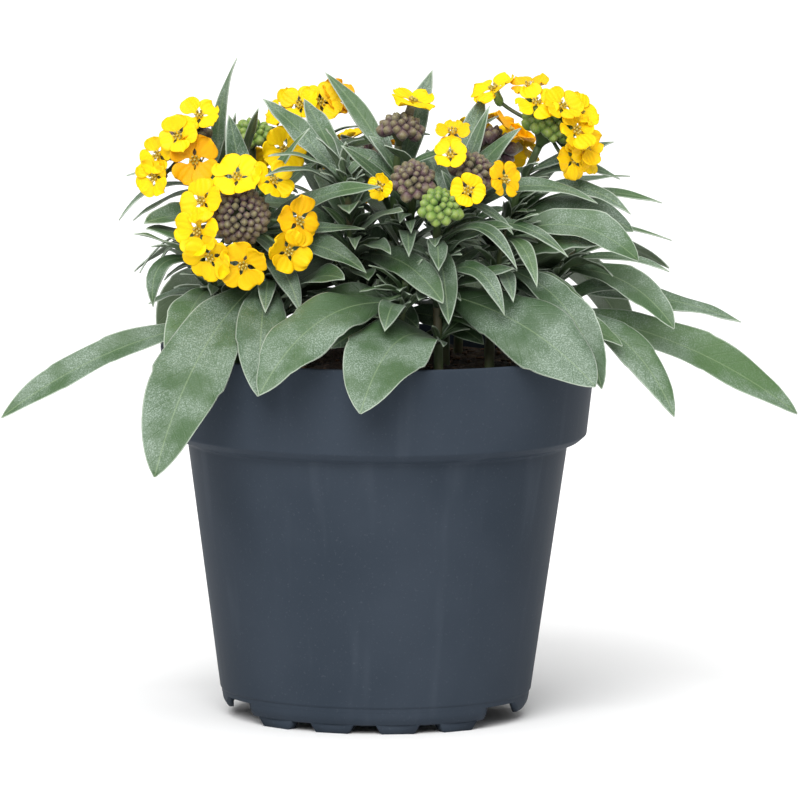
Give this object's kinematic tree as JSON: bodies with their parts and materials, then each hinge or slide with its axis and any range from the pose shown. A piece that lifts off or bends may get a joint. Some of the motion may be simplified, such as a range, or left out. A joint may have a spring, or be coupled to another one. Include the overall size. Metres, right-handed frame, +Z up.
{
  "type": "potted wallflower",
  "caption": "Bushy flowering plant in a round tapered nursery pot: lance-shaped leaves spill over the rim, and clusters of buds and four-petalled flowers stand above them.",
  "frame": {"origin": "on the ground, on the pot's axis, in the middle of the face that the pot stands on", "axes": "+Z up along the pot's axis, -Y towards the front of the plant, +X to its right"},
  "size_m": [0.238, 0.178, 0.1969],
  "materials": {
    "pot": "satin moulded plastic with faint upright streaks",
    "peat": "rough crumbs with flecks of bark",
    "leaf": "matt with fine pale hairs",
    "purple_bud": "matt",
    "green_bud": "matt",
    "petal": "soft satin"
  },
  "bodies": {
    "root": {"back_buds": "purple_bud", "back_flowers_1": "petal", "back_flowers_2": "petal", "back_flowers_3": "petal", "back_leaves": "leaf", "back_left_buds": "green_bud", "back_left_flowers_1": "petal", "back_left_leaves": "leaf", "centre_buds": "purple_bud", "centre_flowers_1": "petal", "centre_leaves": "leaf", "centre_right_buds": "purple_bud", "centre_right_flowers_1": "petal", "centre_right_flowers_2": "petal", "centre_right_flowers_3": "petal", "centre_right_flowers_4": "petal", "centre_right_leaves": "leaf", "front_left_buds": "purple_bud", "front_left_flowers_1": "petal", "front_left_flowers_2": "petal", "front_left_flowers_3": "petal", "front_left_flowers_4": "petal", "front_left_leaves": "leaf", "front_low_leaves": "leaf", "front_right_buds": "green_bud", "front_right_leaves": "leaf", "left_buds": "purple_bud", "left_flowers_1": "petal", "left_flowers_2": "petal", "left_flowers_3": "petal", "left_flowers_4": "petal", "left_leaves": "leaf", "left_low_leaves": "leaf", "middle_leaves": "leaf", "peat": "peat", "pot": "pot", "rear_buds": "purple_bud", "rear_flowers_1": "petal", "rear_flowers_2": "petal", "rear_leaves": "leaf", "rear_left_buds": "green_bud", "rear_left_flowers_1": "petal", "rear_left_flowers_2": "petal", "rear_left_flowers_3": "petal", "rear_left_flowers_4": "petal", "rear_left_leaves": "leaf", "rear_right_buds": "purple_bud", "rear_right_flowers_1": "petal", "rear_right_leaves": "leaf", "right_buds": "green_bud", "right_flowers_1": "petal", "right_flowers_2": "petal", "right_flowers_3": "petal", "right_flowers_4": "petal", "right_leaves": "leaf", "right_low_leaves": "leaf", "right_side_leaves": "leaf", "top_buds": "purple_bud", "top_flowers_1": "petal", "top_leaves": "leaf"}
  },
  "joints": []
}
